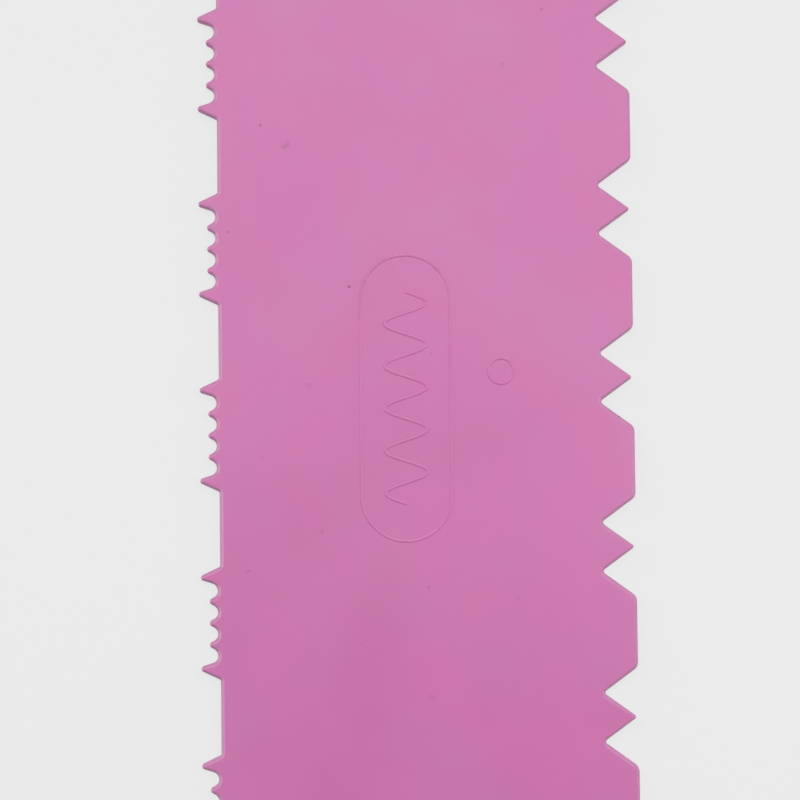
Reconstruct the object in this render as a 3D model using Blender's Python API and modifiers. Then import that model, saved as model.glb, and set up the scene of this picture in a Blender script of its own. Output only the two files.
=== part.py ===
# Two-edged icing comb: one flat plate moulded in pink plastic, with a different toothed edge on each long side.
# The plate lies on its back. +X points to the notched edge, +Y along the length, +Z out of the marked face.
# The origin is the middle of the bounding box at the back face. All sizes are metres.

import math

import bmesh
import bpy
from mathutils import Vector

MM = 0.001

# The plate
PLATE_LENGTH = 256.0 * MM
BLADE_WIDTH = 78.5 * MM         # from the base line of the fine edge to the lands of the notched edge
PLATE_THICKNESS = 2.0 * MM
END_CORNER_RADIUS = 3.0 * MM    # in plan, at the plate's four corners
RIM_CHAMFER = 0.35 * MM         # the softened edge all round, on both faces

# Notched edge (+X): a pointed tooth between two V notches, then a straight land
TOOTH_PITCH = 32.0 * MM
NOTCH_DEPTH = 6.2 * MM          # from the lands to the notch roots
NOTCH_OFFSET = 4.6 * MM         # from a tooth's middle to each notch root beside it
NOTCH_ROOT_RADIUS = 0.53 * MM
TOOTH_SETBACK = 0.52 * MM       # how far a tooth's point stops short of the lands
TOOTH_POINT_RADIUS = 0.45 * MM
LAND_CORNER_RADIUS = 1.8 * MM
LAND_START = 10.3 * MM          # from a tooth's middle to where a land runs straight

# Fine edge (-X): groups of short teeth between round scallops, with a tall tooth at each end of a group
GROUP_PITCH = 35.2 * MM
GROUP_SHIFT = 5.75 * MM         # the row of groups sits this far towards +Y
SCALLOPS_PER_GROUP = 4
SCALLOP_PITCH = 4.06 * MM
SCALLOP_HEIGHT = 0.47 * MM      # scallop bottoms above the base line
SHORT_TOOTH_WIDTH = 1.25 * MM   # between two scallops, at their centres
SHORT_TOOTH_HEIGHT = 2.0 * MM
SHORT_TIP_RADIUS = 0.6 * MM
TALL_TOOTH_HEIGHT = 3.6 * MM
TALL_TOOTH_OFFSET = 2.45 * MM   # from the last scallop's centre to the tall tooth's middle
TALL_TIP_RADIUS = 0.57 * MM
FOOT_RADIUS = 0.47 * MM         # where a tall tooth runs into the base line
FOOT_REACH = 2.35 * MM          # from a tall tooth's middle to where the base line runs straight

# Raised ornament on the face: a round-ended frame with a wavy line in it, and a plain ring beside it
LINE_WIDTH = 0.6 * MM
LINE_HEIGHT = 0.12 * MM
FRAME_LENGTH = 54.0 * MM
FRAME_WIDTH = 17.0 * MM
FRAME_SHIFT = Vector((-4.0, 12.5, 0.0)) * MM    # from the middle of the blade
WAVE_LENGTH = 8.0 * MM
WAVE_COUNT = 5
WAVE_SWING = 4.0 * MM
RING_RADIUS = 2.4 * MM
RING_SHIFT = Vector((14.0, 17.4, 0.0)) * MM     # from the middle of the blade

# How finely round stretches are faceted
ARC_STEP = math.radians(25)
WAVE_STEPS = 10
RING_STEPS = 16
FLAT_ANGLE = math.radians(0.5)  # faces that turn less than this against each other become one

PINK = (0.63, 0.24, 0.45, 1.0)
ROUGHNESS = 0.38

base_x = TALL_TOOTH_HEIGHT - (BLADE_WIDTH + TALL_TOOTH_HEIGHT) / 2
land_x = base_x + BLADE_WIDTH
half_length = PLATE_LENGTH / 2
blade_middle = Vector(((base_x + land_x) / 2, 0, 0))


def clear_scene():
    for old in list(bpy.data.objects):
        bpy.data.objects.remove(old, do_unlink=True)


def new_collection(name):
    collection = bpy.data.collections.new(name)
    bpy.context.scene.collection.children.link(collection)
    return collection


def pink_plastic():
    material = bpy.data.materials.new("pink_plastic")
    material.use_nodes = True
    shader = material.node_tree.nodes["Principled BSDF"]
    shader.inputs["Base Color"].default_value = PINK
    shader.inputs["Roughness"].default_value = ROUGHNESS
    shader.inputs["Metallic"].default_value = 0.0
    return material


# Outline geometry
# An edge is a row of rounds, each (x, y, r): r is positive on a crest and negative in a hollow. The outline
# runs counter-clockwise round the plate, as arcs on the rounds joined by the straight lines tangent to both.

def heading(a, b):
    """Direction of the line that leaves round a and meets round b, with each on the side its sign asks for."""
    ax, ay, ar = a
    bx, by, br = b
    span = math.hypot(bx - ax, by - ay)
    return math.atan2(by - ay, bx - ax) - math.asin((br - ar) / span)


def outline_points(rounds):
    points = []
    for i, (x, y, r) in enumerate(rounds):
        start = heading(rounds[i - 1], rounds[i])
        turn = heading(rounds[i], rounds[(i + 1) % len(rounds)]) - start
        turn = (turn + math.pi) % math.tau - math.pi
        steps = max(1, math.ceil(abs(turn) / ARC_STEP))
        for k in range(steps + 1):
            angle = start + turn * k / steps
            points.append(Vector((x + r * math.sin(angle), y - r * math.cos(angle), 0)))
    return points


def row_places(pitch, repeat_length, shift):
    """Middles of as many repeats as fit the plate's length, centred on the shift."""
    count = 1 + math.floor((PLATE_LENGTH - 2 * abs(shift) - repeat_length) / pitch)
    return [shift + (i - (count - 1) / 2) * pitch for i in range(count)]


def notched_edge():
    """Rounds of the notched edge, from -Y to +Y."""
    corner = land_x - LAND_CORNER_RADIUS
    root = land_x - NOTCH_DEPTH + NOTCH_ROOT_RADIUS
    point = land_x - TOOTH_SETBACK - TOOTH_POINT_RADIUS
    rounds = []
    for y in row_places(TOOTH_PITCH, 2 * LAND_START, 0):
        rounds += [
            (corner, y - LAND_START, LAND_CORNER_RADIUS),
            (root, y - NOTCH_OFFSET, -NOTCH_ROOT_RADIUS),
            (point, y, TOOTH_POINT_RADIUS),
            (root, y + NOTCH_OFFSET, -NOTCH_ROOT_RADIUS),
            (corner, y + LAND_START, LAND_CORNER_RADIUS),
        ]
    return rounds


def fine_edge():
    """Rounds of the fine edge, from +Y to -Y."""
    scallop_radius = (SCALLOP_PITCH - SHORT_TOOTH_WIDTH) / 2
    short_radius = min(SHORT_TIP_RADIUS, SHORT_TOOTH_WIDTH / 2)
    tall_radius = min(TALL_TIP_RADIUS, TALL_TOOTH_OFFSET - scallop_radius)
    last_scallop = (SCALLOPS_PER_GROUP - 1) / 2 * SCALLOP_PITCH
    tall_y = last_scallop + TALL_TOOTH_OFFSET
    foot_y = tall_y + FOOT_REACH
    foot = base_x - FOOT_RADIUS
    tall = base_x - TALL_TOOTH_HEIGHT + tall_radius
    short = base_x - SHORT_TOOTH_HEIGHT + short_radius
    scallop = base_x - SCALLOP_HEIGHT - scallop_radius
    rounds = []
    for y in reversed(row_places(GROUP_PITCH, 2 * foot_y, GROUP_SHIFT)):
        rounds += [(foot, y + foot_y, -FOOT_RADIUS), (tall, y + tall_y, tall_radius)]
        for i in range(SCALLOPS_PER_GROUP):
            scallop_y = y + last_scallop - i * SCALLOP_PITCH
            if i:
                rounds.append((short, scallop_y + SCALLOP_PITCH / 2, short_radius))
            rounds.append((scallop, scallop_y, -scallop_radius))
        rounds += [(tall, y - tall_y, tall_radius), (foot, y - foot_y, -FOOT_RADIUS)]
    return rounds


def end_corners(y_side):
    """Rounds of the two corners at one end, in the outline's direction."""
    r = END_CORNER_RADIUS
    y = y_side * (half_length - r)
    corners = [(base_x + r, y, r), (land_x - r, y, r)]
    return corners if y_side < 0 else corners[::-1]


# Curves

def curve_object(name, points, cyclic):
    curve = bpy.data.curves.new(name, "CURVE")
    spline = curve.splines.new("POLY")
    spline.points.add(len(points) - 1)
    for place, point in zip(spline.points, points):
        place.co = (*point, 1)
    spline.use_cyclic_u = cyclic
    return bpy.data.objects.new(name, curve)


def to_mesh_object(curve_objects, name, collection):
    """One mesh object from curve objects: caps welded on, each one a single face. The curves are removed."""
    bm = bmesh.new()
    for item in curve_objects:
        bpy.context.scene.collection.objects.link(item)
    bpy.context.view_layer.update()
    graph = bpy.context.evaluated_depsgraph_get()
    for item in curve_objects:
        mesh = bpy.data.meshes.new_from_object(item.evaluated_get(graph))
        mesh.transform(item.matrix_world)
        bm.from_mesh(mesh)
        bpy.data.meshes.remove(mesh)
    bmesh.ops.remove_doubles(bm, verts=bm.verts, dist=1e-6)
    bmesh.ops.dissolve_limit(bm, angle_limit=FLAT_ANGLE, verts=bm.verts, edges=bm.edges)
    bmesh.ops.recalc_face_normals(bm, faces=bm.faces)
    joined = bpy.data.meshes.new(name)
    bm.to_mesh(joined)
    bm.free()
    for item in curve_objects:
        bpy.data.objects.remove(item, do_unlink=True)
    result = bpy.data.objects.new(name, joined)
    collection.objects.link(result)
    return result


# The moulded plate

def make_plate(collection):
    rounds = end_corners(-1) + notched_edge() + end_corners(1) + fine_edge()
    outline = curve_object("comb_outline", outline_points(rounds), True)
    outline.data.dimensions = "2D"
    outline.data.fill_mode = "BOTH"
    outline.data.extrude = PLATE_THICKNESS / 2
    outline.location.z = PLATE_THICKNESS / 2
    plate = to_mesh_object([outline], "comb_plate", collection)
    rim = plate.modifiers.new("rim", "BEVEL")
    rim.width = min(RIM_CHAMFER, 0.8 * min(TALL_TIP_RADIUS, SHORT_TIP_RADIUS, TOOTH_POINT_RADIUS))
    rim.segments = 1
    rim.limit_method = "ANGLE"
    rim.angle_limit = math.radians(60)
    rim.use_clamp_overlap = False
    plate.data.materials.append(pink_plastic())
    return plate


# The raised ornament: each line is a round rod sunk in the face, so that only its top shows

def frame_points():
    """A round-ended frame, long in Y."""
    r = FRAME_WIDTH / 2
    straight = FRAME_LENGTH / 2 - r
    points = []
    for k in range(RING_STEPS + 1):
        angle = math.pi * k / RING_STEPS
        points.append(Vector((r * math.cos(angle), straight + r * math.sin(angle), 0)))
    return points + [-p for p in points]


def wave_points():
    steps = WAVE_COUNT * WAVE_STEPS
    length = WAVE_COUNT * WAVE_LENGTH
    return [
        Vector((WAVE_SWING * math.sin(math.tau * WAVE_COUNT * k / steps), length * (k / steps - 0.5), 0))
        for k in range(steps + 1)
    ]


def ring_points():
    angles = [math.tau * k / RING_STEPS for k in range(RING_STEPS)]
    return [Vector((RING_RADIUS * math.cos(a), RING_RADIUS * math.sin(a), 0)) for a in angles]


def make_ornament(collection):
    rod_radius = (LINE_WIDTH ** 2 / 4 + LINE_HEIGHT ** 2) / (2 * LINE_HEIGHT)
    top = PLATE_THICKNESS + LINE_HEIGHT
    lines = []
    for name, points, shift, cyclic in (
        ("frame_line", frame_points(), FRAME_SHIFT, True),
        ("wave_line", wave_points(), FRAME_SHIFT, False),
        ("ring_line", ring_points(), RING_SHIFT, True),
    ):
        line = curve_object(name, points, cyclic)
        line.data.dimensions = "3D"
        line.data.bevel_depth = rod_radius
        line.data.bevel_resolution = 2
        line.data.use_fill_caps = True
        line.location = blade_middle + shift + Vector((0, 0, top - rod_radius))
        lines.append(line)
    ornament = to_mesh_object(lines, "ornament_lines", collection)
    ornament.hide_render = True
    ornament.display_type = "WIRE"
    return ornament


def main():
    clear_scene()
    comb = new_collection("icing_comb")
    helpers = new_collection("icing_comb_helpers")
    plate = make_plate(comb)
    ornament = make_ornament(helpers)
    join = plate.modifiers.new("ornament", "BOOLEAN")
    join.operation = "UNION"
    join.solver = "EXACT"
    join.object = ornament


main()
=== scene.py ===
# Two-edged icing comb of pink plastic, on a plain pale floor in soft studio light.
# Metres; the comb lies on its back, with +X towards its notched edge and +Y along its length.

import math

import bpy
from mathutils import Euler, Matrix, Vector


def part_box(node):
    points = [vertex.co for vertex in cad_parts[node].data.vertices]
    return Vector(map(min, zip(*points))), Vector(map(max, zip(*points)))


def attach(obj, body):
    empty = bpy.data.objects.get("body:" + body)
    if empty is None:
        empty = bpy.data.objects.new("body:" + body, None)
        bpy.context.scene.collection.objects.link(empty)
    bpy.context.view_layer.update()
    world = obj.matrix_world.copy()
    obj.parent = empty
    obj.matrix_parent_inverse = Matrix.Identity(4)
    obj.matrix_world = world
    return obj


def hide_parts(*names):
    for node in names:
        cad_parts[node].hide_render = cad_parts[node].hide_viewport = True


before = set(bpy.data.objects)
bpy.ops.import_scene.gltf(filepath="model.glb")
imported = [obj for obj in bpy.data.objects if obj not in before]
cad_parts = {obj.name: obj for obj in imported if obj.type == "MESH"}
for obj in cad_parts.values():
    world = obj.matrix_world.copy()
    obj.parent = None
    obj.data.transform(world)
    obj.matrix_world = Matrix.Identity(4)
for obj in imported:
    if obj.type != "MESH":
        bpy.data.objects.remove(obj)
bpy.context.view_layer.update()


# Comb plate
# The whole tool is one flat plate of pink plastic, shot in one piece in a steel mould. One long edge has
# pointed teeth between V notches, the other has groups of short teeth between round scallops. The mould
# rounds every rim.

MM = 0.001
LINE_HEIGHT = 0.12 * MM         # of the raised ornament, which is the highest thing on the face

plate_low, plate_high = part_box("comb_plate")
comb_sizes = {
    "Length": plate_high.y - plate_low.y,
    "Full Width": plate_high.x - plate_low.x,
    "Thickness": plate_high.z - plate_low.z - LINE_HEIGHT,
    "Rim Radius": 0.7 * MM,
    "Rim Shoulder": 0.05 * MM,
    "Least Crest Radius": 0.02 * MM,
    "Corner Radius": 3.0 * MM,
    "Tooth Pitch": 32.0 * MM,
    "Notch Depth": 6.2 * MM,
    "Notch Offset": 4.6 * MM,
    "Notch Root Radius": 0.53 * MM,
    "Tooth Setback": 0.52 * MM,
    "Tooth Point Radius": 0.45 * MM,
    "Land Corner Radius": 1.8 * MM,
    "Land Start": 10.3 * MM,
    "Group Pitch": 35.2 * MM,
    "Group Shift": 5.75 * MM,
    "Scallops": 4,
    "Scallop Pitch": 4.06 * MM,
    "Scallop Height": 0.47 * MM,
    "Short Tooth Width": 1.25 * MM,
    "Short Tooth Height": 2.0 * MM,
    "Short Tip Radius": 0.6 * MM,
    "Tall Tooth Height": 3.6 * MM,
    "Tall Tooth Offset": 2.45 * MM,
    "Tall Tip Radius": 0.57 * MM,
    "Foot Radius": 0.47 * MM,
    "Foot Reach": 2.35 * MM,
    "Arc Steps": 12,
    "Rim Steps": 8,
}


def row_count(pitch, repeat_length, shift=0.0):
    """How many repeats fit the plate's length."""
    return 1 + math.floor((comb_sizes["Length"] - 2 * shift - repeat_length) / pitch)


group_length = 2 * (comb_sizes["Tall Tooth Offset"] + comb_sizes["Foot Reach"])
group_length += (comb_sizes["Scallops"] - 1) * comb_sizes["Scallop Pitch"]
comb_sizes["Notched Teeth"] = row_count(comb_sizes["Tooth Pitch"], 2 * comb_sizes["Land Start"])
comb_sizes["Fine Groups"] = row_count(comb_sizes["Group Pitch"], group_length, comb_sizes["Group Shift"])


class Wire:
    """A socket in a node tree. Python's operators on it add the Math nodes of a formula."""

    def __init__(self, nodes, socket):
        self.nodes = nodes
        self.socket = socket

    def other(self, name):
        """Another output of the same node."""
        return Wire(self.nodes, self.socket.node.outputs[name])

    def math(self, operation, *values):
        return self.nodes.node("ShaderNodeMath", {"operation": operation}, dict(enumerate((self, *values))))

    def __add__(self, value):
        return self.math("ADD", value)

    def __sub__(self, value):
        return self.math("SUBTRACT", value)

    def __mul__(self, value):
        return self.math("MULTIPLY", value)

    def __truediv__(self, value):
        return self.math("DIVIDE", value)

    def __mod__(self, value):
        return self.math("FLOORED_MODULO", value)

    def __lt__(self, value):
        return self.math("LESS_THAN", value)

    def __gt__(self, value):
        return self.math("GREATER_THAN", value)

    def __neg__(self):
        return self.math("MULTIPLY", -1.0)

    def __rsub__(self, value):
        return -self + value

    def __abs__(self):
        return self.math("ABSOLUTE")

    def __floor__(self):
        return self.math("FLOOR")

    __radd__ = __add__
    __rmul__ = __mul__


class Nodes:
    """A node tree in the making."""

    def __init__(self, tree):
        self.tree = tree

    def node(self, kind, settings=None, sockets=None, output=0):
        """Adds a node, with its settings first and then the values or links of its sockets."""
        new = self.tree.nodes.new(kind)
        for name, value in (settings or {}).items():
            if name == "choices":
                for _ in range(value - len(new.index_switch_items)):
                    new.index_switch_items.new()
            else:
                setattr(new, name, value)
        for key, value in (sockets or {}).items():
            self.feed(new.inputs[key], value)
        return Wire(self, new.outputs[output]) if new.outputs else None

    def feed(self, socket, value):
        """Gives a socket its value or link. A list is several links, of which it takes the last first."""
        for item in reversed(value) if isinstance(value, list) else [value]:
            if isinstance(item, Wire):
                self.tree.links.new(item.socket, socket)
            else:
                socket.default_value = item


class GeometryNodes(Nodes):
    """A geometry tree with a named input for each of its sizes."""

    def __init__(self, name, sizes):
        super().__init__(bpy.data.node_groups.new(name, "GeometryNodeTree"))
        self.values = {}
        for label, value in sizes.items():
            kind = "NodeSocketInt" if isinstance(value, int) else "NodeSocketFloat"
            socket = self.tree.interface.new_socket(label, in_out="INPUT", socket_type=kind)
            self.values[socket.identifier] = value
        self.tree.interface.new_socket("Geometry", in_out="OUTPUT", socket_type="NodeSocketGeometry")
        self.inputs = self.tree.nodes.new("NodeGroupInput").outputs

    def size(self, label):
        return Wire(self, self.inputs[label])

    def index(self):
        return self.node("GeometryNodeInputIndex")

    def pick(self, number, *choices):
        """The choice with that number."""
        sockets = {str(i): choice for i, choice in enumerate(choices)}
        return self.node("GeometryNodeIndexSwitch", {"data_type": "FLOAT", "choices": len(choices)},
                         {"Index": number, **sockets})

    def point(self, x, y, z):
        return self.node("ShaderNodeCombineXYZ", {}, {"X": x, "Y": y, "Z": z})

    def split(self, vector):
        """The X wire of a point; its other wires are Y and Z."""
        return self.node("ShaderNodeSeparateXYZ", {}, {0: vector}, "X")

    def placed(self, geometry, position):
        return self.node("GeometryNodeSetPosition", {}, {"Geometry": geometry, "Position": position})

    def moved(self, geometry, offset):
        return self.node("GeometryNodeSetPosition", {}, {"Geometry": geometry, "Offset": offset})

    def join(self, *parts):
        return self.node("GeometryNodeJoinGeometry", {}, {"Geometry": list(parts)})

    def named(self, geometry, name, value):
        """The geometry with a value stored at each point."""
        return self.node("GeometryNodeStoreNamedAttribute", {"data_type": "FLOAT", "domain": "POINT"},
                         {"Geometry": geometry, "Name": name, "Value": value})

    def mesh_object(self, name, geometry, material):
        """The object that the tree makes, as a plain mesh with no modifier."""
        real = self.node("GeometryNodeRealizeInstances", {}, {"Geometry": geometry})
        painted = self.node("GeometryNodeSetMaterial", {}, {"Geometry": real, "Material": material})
        self.node("NodeGroupOutput", {}, {"Geometry": painted})
        carrier = bpy.data.objects.new(name + "_tree", bpy.data.meshes.new(name + "_tree"))
        bpy.context.scene.collection.objects.link(carrier)
        modifier = carrier.modifiers.new("shape", "NODES")
        modifier.node_group = self.tree
        for identifier, value in self.values.items():
            modifier[identifier] = value
        graph = bpy.context.evaluated_depsgraph_get()
        mesh = bpy.data.meshes.new_from_object(carrier.evaluated_get(graph))
        bpy.data.objects.remove(carrier)
        mesh.materials.clear()
        mesh.materials.append(material)
        made = bpy.data.objects.new(name, mesh)
        bpy.context.scene.collection.objects.link(made)
        return made


# The outline is a chain of rounds, counter-clockwise. Each is a point with its centre in X and Y, and its
# radius in Z, minus in a hollow. Arcs on the rounds are joined by the lines that touch both.

END_ROUNDS = 2                  # an end's two corners
TOOTH_ROUNDS = 5                # land corner, notch root, tooth point, notch root, land corner


def group_rounds(tree):
    """A group of fine teeth has its scallops, the short teeth between them, two tall teeth and two feet."""
    return tree.size("Scallops") * 2 + 3


def round_row(tree, count, x, y, radius):
    line = tree.node("GeometryNodeMeshLine", {}, {"Count": count})
    return tree.placed(line, tree.point(x, y, radius))


def end_corners(tree, base_x, land_x, y_side):
    radius = tree.size("Corner Radius")
    across = [base_x + radius, land_x - radius]
    x = tree.pick(tree.index(), *across[::-y_side])
    return round_row(tree, END_ROUNDS, x, y_side * (tree.size("Length") / 2 - radius), radius)


def notched_edge(tree, land_x):
    """From -Y to +Y, tooth by tooth. A round's step is 0 at the point, and counts out to either side."""
    teeth = tree.size("Notched Teeth")
    corner = tree.size("Land Corner Radius")
    root = tree.size("Notch Root Radius")
    point = tree.size("Tooth Point Radius")
    step = tree.index() % TOOTH_ROUNDS - TOOTH_ROUNDS // 2
    tooth = math.floor(tree.index() / TOOTH_ROUNDS)
    x = tree.pick(
        abs(step),
        land_x - tree.size("Tooth Setback") - point,
        land_x - tree.size("Notch Depth") + root,
        land_x - corner,
    )
    reach = tree.pick(abs(step), 0.0, tree.size("Notch Offset"), tree.size("Land Start"))
    y = (tooth - (teeth - 1) / 2) * tree.size("Tooth Pitch") + step.math("SIGN") * reach
    return round_row(tree, teeth * TOOTH_ROUNDS, x, y, tree.pick(abs(step), point, -root, corner))


def fine_edge(tree, base_x):
    """From +Y to -Y, group by group, each from foot to foot: a tall tooth, scallops and short teeth by turns,
    and a tall tooth. A round's kind is 0 for a short tooth, 1 a scallop, 2 a tall tooth and 3 a foot.
    """
    groups = tree.size("Fine Groups")
    scallops = tree.size("Scallops")
    pitch = tree.size("Scallop Pitch")
    short = tree.size("Short Tip Radius")
    tall = tree.size("Tall Tip Radius")
    foot = tree.size("Foot Radius")
    scallop = (pitch - tree.size("Short Tooth Width")) / 2
    rounds = group_rounds(tree)
    step = tree.index() % rounds - scallops - 1
    group = math.floor(tree.index() / rounds)
    past_scallops = abs(step) - scallops
    hollow = (abs(step) + scallops) % 2
    kind = hollow * (past_scallops < 0) + (past_scallops + 2) * (past_scallops > -0.5)
    x = tree.pick(
        kind,
        base_x - tree.size("Short Tooth Height") + short,
        base_x - tree.size("Scallop Height") - scallop,
        base_x - tree.size("Tall Tooth Height") + tall,
        base_x - foot,
    )
    inner = abs(step) * pitch / 2
    tall_reach = (scallops - 1) / 2 * pitch + tree.size("Tall Tooth Offset")
    reach = tree.pick(kind, inner, inner, tall_reach, tall_reach + tree.size("Foot Reach"))
    middle = tree.size("Group Shift") - (group - (groups - 1) / 2) * tree.size("Group Pitch")
    radius = tree.pick(kind, short, -scallop, tall, -foot)
    return round_row(tree, groups * rounds, x, middle - step.math("SIGN") * reach, radius)


def heading(tree, first, second):
    """Direction of the line that touches two rounds, each on the side that its sign asks for."""
    step = tree.node("ShaderNodeVectorMath", {"operation": "SUBTRACT"}, {0: second, 1: first})
    across = tree.split(step)
    along = across.other("Y")
    span = (across * across + along * along).math("SQRT")
    return along.math("ARCTAN2", across) - (across.other("Z") / span).math("ARCSINE")


def plate_skin(tree, rounds, round_count):
    """The plate's closed skin: rings of one outline, drawn in round the rim of both faces, and a cap on each.

    A ring's rim step is 0 on the side wall, then 1 more for each ring up to the face, and the last ring lies
    one shoulder further in. The attribute "rim" is 1 on the side wall, falls as the rim rounds over, and is 0
    on the faces. The second attribute is how squarely a wall faces -X, straight out from the fine edge, and
    marks where the material paints a pale highlight.
    """
    arc_steps = tree.size("Arc Steps")
    rim_steps = tree.size("Rim Steps")
    rim = tree.size("Rim Radius")
    half_thickness = tree.size("Thickness") / 2
    arc_points = arc_steps + 1
    ring_points = round_count * arc_points
    last_ring = rim_steps * 2 + 3
    skin = tree.node("GeometryNodeMeshCylinder", {"fill_type": "NGON"},
                     {"Vertices": ring_points, "Side Segments": last_ring})

    ring = math.floor(tree.index() / ring_points) - last_ring / 2
    rim_step = abs(ring) - 0.5
    lift = (rim_step / rim_steps).math("MINIMUM", 1.0) * (math.pi / 2)
    inset = rim * (1 - lift.math("COSINE")) + tree.size("Rim Shoulder") * (rim_step > rim_steps)
    z = half_thickness - ring.math("SIGN") * (half_thickness - rim * (1 - lift.math("SINE")))

    outline_point = tree.index() % ring_points
    number = math.floor(outline_point / arc_points)
    before, here, after = (
        tree.node("GeometryNodeSampleIndex", {"data_type": "FLOAT_VECTOR"}, {
            "Geometry": rounds,
            "Value": tree.node("GeometryNodeInputPosition"),
            "Index": (number + shift) % round_count,
        })
        for shift in (-1, 0, 1)
    )
    start = heading(tree, before, here)
    turn = (heading(tree, here, after) - start).math("WRAP", math.pi, -math.pi)
    angle = start + turn * (outline_point % arc_points) / arc_steps
    centre = tree.split(here)
    radius = centre.other("Z") - inset
    crest_radius = radius.math("MAXIMUM", tree.size("Least Crest Radius"))
    radius = tree.pick(centre.other("Z") > 0.0, radius, crest_radius)
    x = centre + radius * angle.math("SINE")
    y = centre.other("Y") - radius * angle.math("COSINE")
    shaped = tree.placed(skin, tree.point(x, y, z))
    rimmed = tree.named(shaped, "rim", 1 - rim_step / (rim_steps + 1))
    return tree.named(rimmed, "scuff", -angle.math("SINE"))


# Raised ornament
# A round-ended frame with a wavy line in it, and a plain ring beside it. The lines were cut into the mould
# with a round tool, so they stand on the face as low round ridges.

comb_sizes |= {
    "Line Width": 0.6 * MM,
    "Line Height": LINE_HEIGHT,
    "Frame Length": 54.0 * MM,
    "Frame Width": 17.0 * MM,
    "Frame Shift X": -4.0 * MM,
    "Frame Shift Y": 12.5 * MM,
    "Wave Length": 8.0 * MM,
    "Wave Count": 5,
    "Wave Swing": 4.0 * MM,
    "Ring Radius": 2.4 * MM,
    "Ring Shift X": 14.0 * MM,
    "Ring Shift Y": 17.4 * MM,
}
LINE_SIDES = 24
FRAME_CORNER_STEPS = 16
WAVE_POINTS = 200
RING_POINTS = 48


def ornament_lines(tree, middle_x):
    """The ridges as closed round rods, sunk in the face so that only their tops show."""
    frame_width = tree.size("Frame Width")
    wave_length = tree.size("Wave Length")
    half_wave = tree.size("Wave Count") * wave_length / 2
    box = tree.node("GeometryNodeCurvePrimitiveQuadrilateral", {},
                    {"Width": frame_width, "Height": tree.size("Frame Length")})
    frame_line = tree.node("GeometryNodeFilletCurve", {"mode": "POLY"}, {
        "Curve": box,
        "Count": FRAME_CORNER_STEPS,
        "Radius": frame_width / 2,
        "Limit Radius": True,
    })
    straight = tree.node("GeometryNodeCurvePrimitiveLine", {}, {
        "Start": tree.point(0.0, -half_wave, 0.0),
        "End": tree.point(0.0, half_wave, 0.0),
    })
    line = tree.node("GeometryNodeResampleCurve", {}, {"Curve": straight, "Count": WAVE_POINTS})
    y = tree.split(tree.node("GeometryNodeInputPosition")).other("Y")
    swing = tree.size("Wave Swing") * (y * math.tau / wave_length).math("SINE")
    wave_line = tree.placed(line, tree.point(swing, y, 0.0))
    ring_line = tree.node("GeometryNodeCurvePrimitiveCircle", {},
                          {"Resolution": RING_POINTS, "Radius": tree.size("Ring Radius")})

    width = tree.size("Line Width")
    height = tree.size("Line Height")
    rod = (width * width / 4 + height * height) / (height * 2)
    z = tree.size("Thickness") + height - rod
    frame_place = tree.point(middle_x + tree.size("Frame Shift X"), tree.size("Frame Shift Y"), z)
    ring_place = tree.point(middle_x + tree.size("Ring Shift X"), tree.size("Ring Shift Y"), z)
    framed_lines = tree.moved(tree.join(frame_line, wave_line), frame_place)
    lines = tree.join(framed_lines, tree.moved(ring_line, ring_place))
    section = tree.node("GeometryNodeCurvePrimitiveCircle", {}, {"Resolution": LINE_SIDES, "Radius": rod})
    return tree.node("GeometryNodeCurveToMesh", {},
                     {"Curve": lines, "Profile Curve": section, "Fill Caps": True})


# Moulding marks on the back
# Round ejector pins push the warm plate out of the mould and leave shallow dents in its back. The plastic
# came in through a gate in the middle, where a low nub stands in a dish.

comb_sizes |= {
    "Pin Radius": 2.5 * MM,
    "Pin Depth": 0.07 * MM,
    "Pin Columns": 2,
    "Pin Rows": 4,
    "Pin Field Width": 52.0 * MM,
    "Pin Field Length": 204.0 * MM,
    "Gate Radius": 1.9 * MM,
    "Gate Depth": 0.3 * MM,
    "Nub Radius": 0.7 * MM,
    "Nub Top": 0.1 * MM,
}
DISC_SIDES = 64


def disc(tree, radius, bottom, top):
    """A short upright cylinder between two heights."""
    cylinder = tree.node("GeometryNodeMeshCylinder", {"fill_type": "NGON"},
                         {"Vertices": DISC_SIDES, "Radius": radius, "Depth": top - bottom})
    return tree.moved(cylinder, tree.point(0.0, 0.0, (bottom + top) / 2))


def back_dents(tree, middle_x):
    depth = tree.size("Pin Depth")
    pin = disc(tree, tree.size("Pin Radius"), -depth, depth)
    field = tree.node("GeometryNodeMeshGrid", {}, {
        "Size X": tree.size("Pin Field Width"),
        "Size Y": tree.size("Pin Field Length"),
        "Vertices X": tree.size("Pin Columns"),
        "Vertices Y": tree.size("Pin Rows"),
    })
    pins = tree.node("GeometryNodeInstanceOnPoints", {}, {"Points": field, "Instance": pin})
    gate_depth = tree.size("Gate Depth")
    dish = disc(tree, tree.size("Gate Radius"), -gate_depth, gate_depth)
    nub = disc(tree, tree.size("Nub Radius"), tree.size("Nub Top"), gate_depth * 2)
    dish_round_nub = tree.node("GeometryNodeMeshBoolean", {"operation": "DIFFERENCE", "solver": "MANIFOLD"},
                               {"Mesh 1": dish, "Mesh 2": nub})
    dents = tree.join(tree.node("GeometryNodeRealizeInstances", {}, {"Geometry": pins}), dish_round_nub)
    return tree.moved(dents, tree.point(middle_x, 0.0, 0.0))


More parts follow.
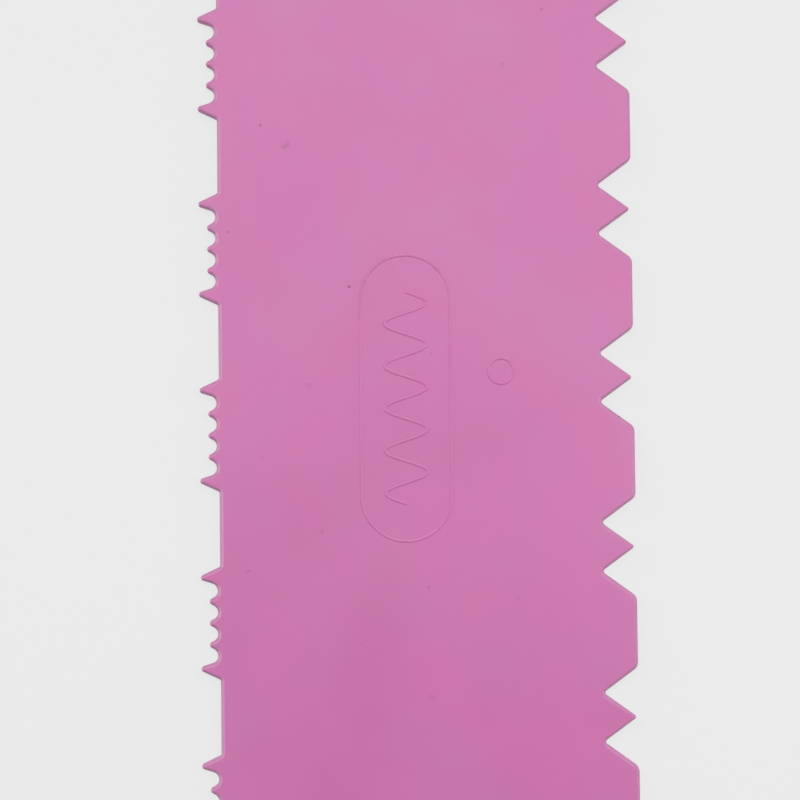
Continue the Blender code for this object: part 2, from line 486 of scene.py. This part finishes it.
comb_tree = GeometryNodes("comb_shape", comb_sizes)
land_x = comb_tree.size("Full Width") / 2
base_x = comb_tree.size("Tall Tooth Height") - land_x
blade_middle = (base_x + land_x) / 2
comb_rounds = comb_tree.join(
    end_corners(comb_tree, base_x, land_x, -1),
    notched_edge(comb_tree, land_x),
    end_corners(comb_tree, base_x, land_x, 1),
    fine_edge(comb_tree, base_x),
)
comb_round_count = (
    END_ROUNDS * 2
    + comb_tree.size("Notched Teeth") * TOOTH_ROUNDS
    + comb_tree.size("Fine Groups") * group_rounds(comb_tree)
)
plate = plate_skin(comb_tree, comb_rounds, comb_round_count)
marked = comb_tree.node("GeometryNodeMeshBoolean", {"operation": "UNION", "solver": "MANIFOLD"},
                        {"Mesh 2": [plate, ornament_lines(comb_tree, blade_middle)]})
moulded = comb_tree.node("GeometryNodeMeshBoolean", {"operation": "DIFFERENCE", "solver": "MANIFOLD"},
                         {"Mesh 1": marked, "Mesh 2": back_dents(comb_tree, blade_middle)})


# Pink plastic
# Opaque pink polypropylene, dyed in the granules, so its colour clouds a little paler, warmer or more violet,
# and a few specks show. The satin skin has light scratches and smudges from handling. The rims carry a
# painted greyish sheen, and the walls that face straight out from the fine edge carry a paler painted
# highlight.

PINK = (0.509, 0.137, 0.340, 1)
PALE_PINK = (0.513, 0.161, 0.357, 1)
WARM_PINK = (0.565, 0.141, 0.365, 1)
VIOLET_PINK = (0.517, 0.142, 0.369, 1)
# Painted sheen: the rims' greyer, paler colour stands in for the light that the rounded rims reflect.
RIM_SHEEN_PINK = (0.467, 0.185, 0.352, 1)
# Painted highlight, for the walls that face straight out from the fine edge.
HIGHLIGHT_PINK = (0.530, 0.265, 0.415, 1)
SPECK = (0.20, 0.05, 0.13, 1)
PALE_CLOUD_SIZE = 30 * MM
WARM_CLOUD_SIZE = 21 * MM
WARM_SHARE = 0.6
VIOLET_CLOUD_SIZE = 15 * MM
VIOLET_SHARE = 0.5
CLOUD_EDGES = (0.35, 0.65)      # of the noise, where a cloud sets in and where it is full
RIM_FADE = 0.15                 # of the rim's attribute, over which the face's colour gives way
RIM_CLOUDING = 0.2              # of the rim's colour, which a warm cloud takes back
HIGHLIGHT_START = 0.75              # how squarely a wall faces out where its painted highlight begins
SPECK_SPACING = 18 * MM
SPECK_RADIUS = 0.32 * MM
SPECK_SHARE = 0.4               # of the cells, one every spacing, which have a speck
SPECK_STRENGTH = 0.75
SMUDGE_SPACING = 33 * MM
SMUDGE_RADIUS = 0.8 * MM
SMUDGE_SHARE = 0.7
SMUDGE_STRENGTH = 0.26
SMUDGE_RAGGEDNESS = 2.4 * MM
LEAST_SPOT_SIZE = 0.5           # times the radius above for the smallest, and 1 more for the largest
LEAST_SPOT_DARKNESS = 0.35      # of the strength above, which the darkest reaches
SPOT_CORE = 0.4                 # of a spot's radius, inside which it is at its darkest
BACK_SHIFT = 0.137              # moves the spots of the back away from those of the face
SATIN_ROUGHNESS = 0.38
WARM_ROUGHNESS = 0.06
GRAIN_ROUGHNESS = 0.05
SCRATCH_ROUGHNESS = 0.08
MICRON = 0.001 * MM
GRAIN_SIZE = 0.35 * MM
GRAIN_HEIGHT = 0.4 * MICRON
WAVE_SIZE = 9 * MM
WAVE_HEIGHT = 7 * MICRON
SCRATCH_LENGTH = 14 * MM
SCRATCH_WIDTH = 0.12 * MM
SCRATCH_DEPTH = 0.8 * MICRON
SCRATCH_ANGLES = (8, -21, 63)
SCRATCH_EDGES = (0.74, 0.82)    # of the streaky noise, so that only its highest streaks are scratches
SHARP_ANGLE = 30                # degrees between two faces, past which their edge isn't smoothed over


class ShaderNodes(Nodes):
    """The emptied tree of a material or world."""

    def __init__(self, owner):
        owner.use_nodes = True
        super().__init__(owner.node_tree)
        self.tree.nodes.clear()

    def blend(self, amount, first, second):
        """A colour between two others."""
        return self.node("ShaderNodeMix", {"data_type": "RGBA"}, {0: amount, 6: first, 7: second}, 2)

    def ramp(self, value, start, end):
        """0 at the start, 1 at the end and smooth between."""
        return self.node("ShaderNodeMapRange", {"interpolation_type": "SMOOTHSTEP"},
                         {"Value": value, "From Min": start, "From Max": end})

    def attribute(self, name):
        return self.node("ShaderNodeAttribute", {"attribute_name": name}, {}, "Fac")

    def noise(self, place, size, detail=2.0):
        """Cloudy noise from 0 to 1, with features about size metres across."""
        return self.node("ShaderNodeTexNoise", {}, {"Vector": place, "Scale": 1 / size, "Detail": detail})

    def turned(self, place, angle, stretch):
        """The place turned about Z and then squeezed, so that noise on it is drawn out into streaks."""
        return self.node("ShaderNodeMapping", {},
                         {"Vector": place, "Rotation": (0, 0, math.radians(angle)), "Scale": stretch})


def spots(shader, place, spacing, radius, share):
    """Up to 1 in a few scattered spots: that share of the cells has one, of its own size and darkness."""
    cells = shader.node("ShaderNodeTexVoronoi", {"voronoi_dimensions": "2D"},
                        {"Vector": place, "Scale": 1 / spacing})
    draw = shader.node("ShaderNodeSeparateColor", {}, {"Color": cells.other("Color")})
    reach = (LEAST_SPOT_SIZE + draw.other("Green")) * (radius / spacing)
    darkness = LEAST_SPOT_DARKNESS + (1 - LEAST_SPOT_DARKNESS) * draw.other("Blue")
    return shader.ramp(cells, reach, reach * SPOT_CORE) * (draw < share) * darkness


def marked_colour(shader, place, colour):
    """The colour with specks of other granules in it, and faint ragged smudges on it."""
    height = shader.node("ShaderNodeSeparateXYZ", {}, {0: place}, "Z")
    on_back = height < comb_sizes["Thickness"] / 2
    shift = shader.node("ShaderNodeCombineXYZ", {}, {"X": on_back * BACK_SHIFT})
    flat = shader.node("ShaderNodeVectorMath", {"operation": "ADD"}, {0: place, 1: shift})
    wander = shader.noise(flat, SMUDGE_RADIUS).other("Color")
    ragged = shader.node("ShaderNodeVectorMath", {"operation": "MULTIPLY_ADD"},
                         {0: wander, 1: (SMUDGE_RAGGEDNESS,) * 3, 2: flat})
    smudges = spots(shader, ragged, SMUDGE_SPACING, SMUDGE_RADIUS, SMUDGE_SHARE)
    specks = spots(shader, flat, SPECK_SPACING, SPECK_RADIUS, SPECK_SHARE)
    colour = shader.blend(smudges * SMUDGE_STRENGTH, colour, SPECK)
    return shader.blend(specks * SPECK_STRENGTH, colour, SPECK)


def pink_plastic():
    material = bpy.data.materials.new("pink_plastic")
    shader = ShaderNodes(material)
    place = shader.node("ShaderNodeTexCoord", {}, {}, "Object")

    pale, warm, violet = (
        shader.ramp(shader.noise(place, size), *CLOUD_EDGES)
        for size in (PALE_CLOUD_SIZE, WARM_CLOUD_SIZE, VIOLET_CLOUD_SIZE)
    )
    colour = shader.blend(pale, PINK, PALE_PINK)
    colour = shader.blend(warm * WARM_SHARE, colour, WARM_PINK)
    colour = shader.blend(violet * VIOLET_SHARE, colour, VIOLET_PINK)

    # Painted sheen and highlight: the rims get a greyer colour in place of the light they reflect, and the
    # walls facing -X a paler one.
    on_rim = shader.ramp(shader.attribute("rim"), 0.0, RIM_FADE)
    # Painted highlight: walls facing -X, straight out from the fine edge, are painted paler, as if lit from
    # that side.
    highlighted = shader.ramp(shader.attribute("scuff"), HIGHLIGHT_START, 1.0)
    painted_rim_light = shader.blend(highlighted, RIM_SHEEN_PINK, HIGHLIGHT_PINK)
    colour = shader.blend(on_rim * (1 - RIM_CLOUDING * warm), colour, painted_rim_light)
    colour = marked_colour(shader, place, colour)

    grain = shader.noise(place, GRAIN_SIZE)
    waves = shader.noise(place, WAVE_SIZE, 1.0)
    scratches = 0
    for angle in SCRATCH_ANGLES:
        streaks = shader.turned(place, angle, (1, SCRATCH_WIDTH / SCRATCH_LENGTH, 1))
        scratches = shader.ramp(shader.noise(streaks, SCRATCH_WIDTH, 0.0), *SCRATCH_EDGES) + scratches
    roughness = SATIN_ROUGHNESS + WARM_ROUGHNESS * (warm - 0.5) + GRAIN_ROUGHNESS * (grain - 0.5)
    roughness = roughness + SCRATCH_ROUGHNESS * scratches

    height = waves * WAVE_HEIGHT + grain * GRAIN_HEIGHT - scratches * SCRATCH_DEPTH
    relief = shader.node("ShaderNodeBump", {}, {"Height": height, "Distance": 1.0, "Strength": 1.0})
    surface = shader.node("ShaderNodeBsdfPrincipled", {}, {
        "Base Color": colour,
        "Roughness": roughness,
        "Normal": relief,
    })
    shader.node("ShaderNodeOutputMaterial", {}, {"Surface": surface})
    return material


comb = comb_tree.mesh_object("icing_comb", moulded, pink_plastic())
comb.data.shade_smooth()
comb.data.set_sharp_from_angle(angle=math.radians(SHARP_ANGLE))
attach(comb, "root")
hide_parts("comb_plate")


# Floor
# A wide pale sheet under the comb. The camera and mirror-like reflections see most of it at an even level,
# and the rest is lit, so that the comb still lays its faint soft shadow on it. Farther off it fades into the
# room's even level, so that no horizon shows.

BACKDROP = 0.825
FLOOR_SIDE = 8.0
FLOOR_DROP = 0.05 * MM
FLOOR_EVEN_SHARE = 0.88
FLOOR_FADE_START = 0.3
FLOOR_FADE_END = 0.9


def seen_rays(shader):
    """1 for a ray from the camera, a glossy reflection or glass, else 0."""
    seen = shader.node("ShaderNodeLightPath", {}, {}, "Is Camera Ray")
    seen_or_mirrored = seen.math("MAXIMUM", seen.other("Is Glossy Ray"))
    return seen_or_mirrored.math("MAXIMUM", seen.other("Is Transmission Ray"))


def grey(level):
    return (level, level, level, 1)


def floor_material():
    material = bpy.data.materials.new("pale_floor")
    shader = ShaderNodes(material)
    place = shader.node("ShaderNodeTexCoord", {}, {}, "Object")
    distance = shader.node("ShaderNodeVectorMath", {"operation": "LENGTH"}, {0: place}, "Value")
    faded = shader.ramp(distance, FLOOR_FADE_START, FLOOR_FADE_END)
    even_share = FLOOR_EVEN_SHARE + (1 - FLOOR_EVEN_SHARE) * faded
    lit = shader.node("ShaderNodeBsdfDiffuse", {}, {"Color": grey(BACKDROP)})
    even = shader.node("ShaderNodeEmission", {}, {"Color": grey(BACKDROP), "Strength": 1.0})
    even_part = seen_rays(shader) * even_share
    surface = shader.node("ShaderNodeMixShader", {}, {0: even_part, 1: lit, 2: even})
    shader.node("ShaderNodeOutputMaterial", {}, {"Surface": surface})
    return material


bpy.ops.mesh.primitive_plane_add(size=FLOOR_SIDE, location=(0, 0, -FLOOR_DROP))
floor = bpy.context.object
floor.name = "floor"
floor.data.materials.append(floor_material())


# Studio light
# A large softbox leans over from beyond the comb's far end, and a small one hangs over each side. A huge
# one stands far off at each side and lights the rims, but isn't mirrored in the plastic. The room is dim.

ROOM_LIGHT = 0.06


def softbox(name, size, power, distance, tilt, turn, mirrored=True):
    """A square lamp aimed at the comb: tilt is its angle from straight above, turn is 0 for the far end."""
    light = bpy.data.lights.new(name, "AREA")
    light.size = size
    light.energy = power
    aim = Euler((-math.radians(tilt), 0, math.radians(turn)))
    lamp = bpy.data.objects.new(name, light)
    lamp.location = aim.to_matrix() @ Vector((0, 0, distance))
    lamp.rotation_euler = aim
    lamp.visible_camera = False
    lamp.visible_glossy = mirrored
    bpy.context.scene.collection.objects.link(lamp)


softbox("far_softbox", size=1.4, power=14.9, distance=1.7, tilt=25, turn=0)
softbox("left_softbox", size=0.12, power=0.135, distance=0.3, tilt=35, turn=90)
softbox("right_softbox", size=0.12, power=0.175, distance=0.3, tilt=35, turn=-90)
softbox("left_wall_softbox", size=2.2, power=52, distance=3.0, tilt=70, turn=60, mirrored=False)
softbox("right_wall_softbox", size=2.2, power=52, distance=3.0, tilt=70, turn=-85, mirrored=False)

room = bpy.data.worlds.new("studio_room")
room_shader = ShaderNodes(room)
room_dim = room_shader.node("ShaderNodeBackground", {}, {"Color": grey(ROOM_LIGHT)})
room_seen = room_shader.node("ShaderNodeBackground", {}, {"Color": grey(BACKDROP)})
room_mix = room_shader.node("ShaderNodeMixShader", {},
                            {0: seen_rays(room_shader), 1: room_dim, 2: room_seen})
room_shader.node("ShaderNodeOutputWorld", {}, {"Surface": room_mix})
bpy.context.scene.world = room


# Camera
# It looks down at the comb's face, turned a little towards the far end and the notched edge, and sees the
# comb's middle from edge to edge.

LENS = 81.89
SENSOR = 36.0
CAMERA_PLACE = (-11.5 * MM, 0.73 * MM, 344.7 * MM)
CAMERA_TURN = (0.0334, -0.0235, -0.0108)

camera_data = bpy.data.cameras.new("camera")
camera_data.lens = LENS
camera_data.sensor_width = SENSOR
camera = bpy.data.objects.new("camera", camera_data)
camera.location = CAMERA_PLACE
camera.rotation_euler = CAMERA_TURN
bpy.context.scene.collection.objects.link(camera)
bpy.context.scene.camera = camera
bpy.context.scene.view_settings.view_transform = "Standard"
